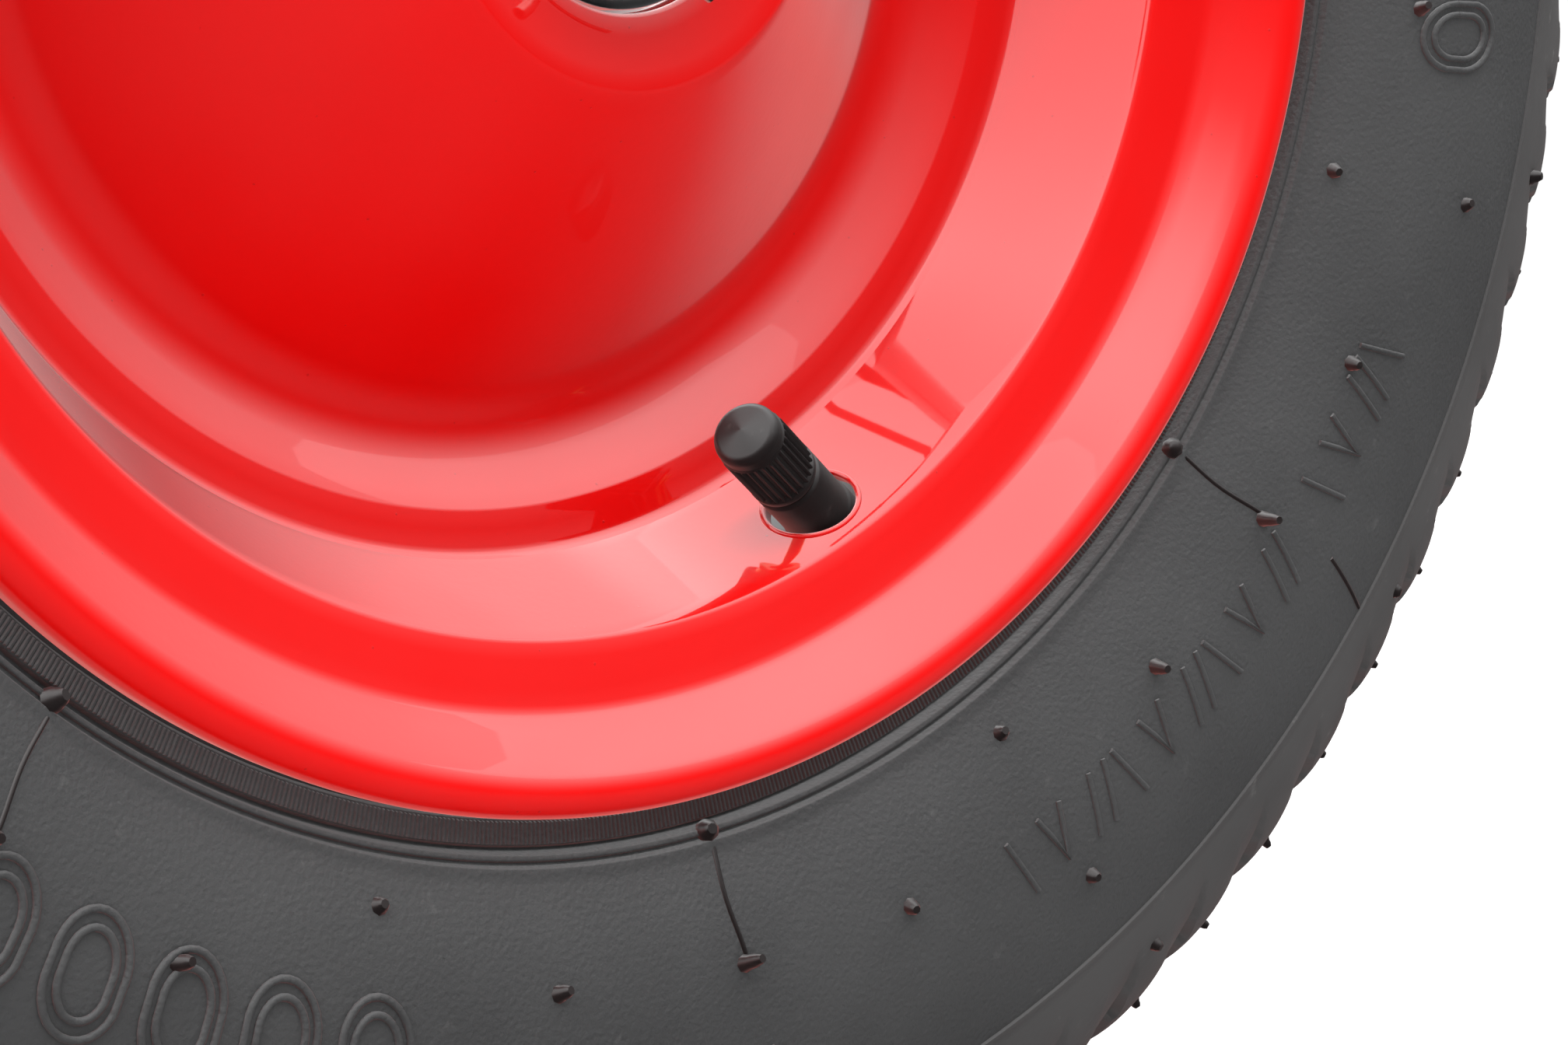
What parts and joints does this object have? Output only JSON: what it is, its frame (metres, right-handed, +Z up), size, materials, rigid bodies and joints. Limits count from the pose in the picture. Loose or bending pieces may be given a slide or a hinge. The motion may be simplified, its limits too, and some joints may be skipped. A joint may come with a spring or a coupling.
{
  "type": "hand truck",
  "caption": "Upright two-wheel hand truck with a tubular frame, bent-back handles, a flat toe plate and air-filled rubber tyres on dished pressed-steel rims.",
  "frame": {"origin": "on the floor, below the middle of the whole truck's outline, with the truck upright on its toe plate and tyres", "axes": "+Z up, +X across the truck to its right-hand wheel, -Y towards the load side where the toe plate points"},
  "size_m": [0.564, 0.57, 1.1775],
  "materials": {
    "red_paint": "high gloss enamel",
    "tyre_rubber": "matt moulded rubber",
    "valve_rubber": "satin moulded rubber",
    "grip_rubber": "matt ribbed rubber",
    "zinc_steel": "zinc plated",
    "bearing_steel": "ground",
    "brass": "turned"
  },
  "bodies": {
    "root": {"toe_plate": "red_paint", "crossbar_lower": "red_paint", "crossbar_middle": "red_paint", "crossbar_upper": "red_paint", "crossbar_top": "red_paint", "axle": "zinc_steel", "rail_right": "red_paint", "toe_gusset_right": "red_paint", "axle_bracket_right": "red_paint", "stay_right": "red_paint", "grip_right": "grip_rubber", "axle_spacer_right": "zinc_steel", "axle_collar_right": "zinc_steel", "axle_washer_right": "zinc_steel", "split_pin_right": "zinc_steel", "bearing_inner_outboard_right": "bearing_steel", "bearing_inner_inboard_right": "bearing_steel", "rail_left": "red_paint", "toe_gusset_left": "red_paint", "axle_bracket_left": "red_paint", "stay_left": "red_paint", "grip_left": "grip_rubber", "axle_spacer_left": "zinc_steel", "axle_collar_left": "zinc_steel", "axle_washer_left": "zinc_steel", "split_pin_left": "zinc_steel", "bearing_inner_outboard_left": "bearing_steel", "bearing_inner_inboard_left": "bearing_steel"},
    "wheel_right": {"tyre_right": "tyre_rubber", "inner_tube_right": "valve_rubber", "rim_ring_right": "red_paint", "rim_disc_outboard_right": "red_paint", "rim_disc_inboard_right": "red_paint", "hub_tube_right": "red_paint", "bearing_outer_outboard_right": "bearing_steel", "bearing_outer_inboard_right": "bearing_steel"},
    "cage_outboard_right": {"ball_cage_outboard_right": "bearing_steel"},
    "cage_inboard_right": {"ball_cage_inboard_right": "bearing_steel"},
    "cap_right": {"valve_cap_right": "valve_rubber"},
    "pin_right": {"valve_pin_right": "brass"},
    "wheel_left": {"tyre_left": "tyre_rubber", "inner_tube_left": "valve_rubber", "rim_ring_left": "red_paint", "rim_disc_outboard_left": "red_paint", "rim_disc_inboard_left": "red_paint", "hub_tube_left": "red_paint", "bearing_outer_outboard_left": "bearing_steel", "bearing_outer_inboard_left": "bearing_steel"},
    "cage_outboard_left": {"ball_cage_outboard_left": "bearing_steel"},
    "cage_inboard_left": {"ball_cage_inboard_left": "bearing_steel"},
    "cap_left": {"valve_cap_left": "valve_rubber"},
    "pin_left": {"valve_pin_left": "brass"}
  },
  "joints": [
    {"name": "wheel_spin_right", "type": "hinge", "parent": "root", "child": "wheel_right", "pos_m": [0.225, 0.085, 0.2], "axis": [1, 0, 0], "continuous": true},
    {"name": "cage_spin_outboard_right", "type": "hinge", "parent": "root", "child": "cage_outboard_right", "pos_m": [0.225, 0.085, 0.2], "axis": [1, 0, 0], "continuous": true},
    {"name": "cage_spin_inboard_right", "type": "hinge", "parent": "root", "child": "cage_inboard_right", "pos_m": [0.225, 0.085, 0.2], "axis": [1, 0, 0], "continuous": true},
    {"name": "cap_off_right", "type": "slide", "parent": "wheel_right", "child": "cap_right", "axis": [0.3541, -0.8241, 0.4422], "range_m": [0, 0.02]},
    {"name": "pin_press_right", "type": "slide", "parent": "wheel_right", "child": "pin_right", "axis": [-0.3541, 0.8241, -0.4422], "range_m": [0, 0.0015], "stiffness_N_per_m": 400},
    {"name": "wheel_spin_left", "type": "hinge", "parent": "root", "child": "wheel_left", "pos_m": [-0.225, 0.085, 0.2], "axis": [1, 0, 0], "continuous": true},
    {"name": "cage_spin_outboard_left", "type": "hinge", "parent": "root", "child": "cage_outboard_left", "pos_m": [-0.225, 0.085, 0.2], "axis": [1, 0, 0], "continuous": true},
    {"name": "cage_spin_inboard_left", "type": "hinge", "parent": "root", "child": "cage_inboard_left", "pos_m": [-0.225, 0.085, 0.2], "axis": [1, 0, 0], "continuous": true},
    {"name": "cap_off_left", "type": "slide", "parent": "wheel_left", "child": "cap_left", "axis": [-0.3541, -0.8241, 0.4422], "range_m": [0, 0.02]},
    {"name": "pin_press_left", "type": "slide", "parent": "wheel_left", "child": "pin_left", "axis": [0.3541, 0.8241, -0.4422], "range_m": [0, 0.0015], "stiffness_N_per_m": 400}
  ],
  "couplings": [
    {"joint": "cage_spin_outboard_right", "follows": "wheel_spin_right", "ratio": 0.5737},
    {"joint": "cage_spin_inboard_right", "follows": "wheel_spin_right", "ratio": 0.5737},
    {"joint": "cage_spin_outboard_left", "follows": "wheel_spin_left", "ratio": 0.5737},
    {"joint": "cage_spin_inboard_left", "follows": "wheel_spin_left", "ratio": 0.5737}
  ]
}
